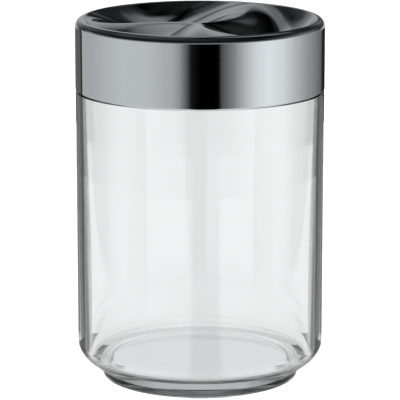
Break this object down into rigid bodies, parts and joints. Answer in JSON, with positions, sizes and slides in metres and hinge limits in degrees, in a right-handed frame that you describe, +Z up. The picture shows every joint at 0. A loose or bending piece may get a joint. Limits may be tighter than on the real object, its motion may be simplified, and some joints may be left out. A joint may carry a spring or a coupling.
{
  "type": "lidded glass storage jar",
  "caption": "Clear glass canister with a heavy base and a tall polished steel pull-off lid, its top pressed into finger hollows that leave a ridged grip.",
  "frame": {"origin": "centre of the foot ring's resting plane, on the jar's axis", "axes": "+Z up along the jar's axis, +X to the viewer's right, +Y away from the viewer; millimetres in the solids, metres in the row"},
  "size_m": [0.105, 0.105, 0.1541],
  "materials": {
    "glass": "clear, fire-polished",
    "polished_steel": "mirror-polished stainless steel",
    "liner_plastic": "natural moulded plastic, satin",
    "seal_silicone": "translucent silicone, satin"
  },
  "bodies": {
    "jar": {"glass_jar": "glass"},
    "lid": {"lid_shell": "polished_steel", "lid_liner": "liner_plastic", "seal_ring": "seal_silicone"}
  },
  "joints": [
    {"name": "lid_lift", "type": "slide", "parent": "jar", "child": "lid", "axis": [0, 0, 1], "range_m": [0, 0.09]}
  ]
}
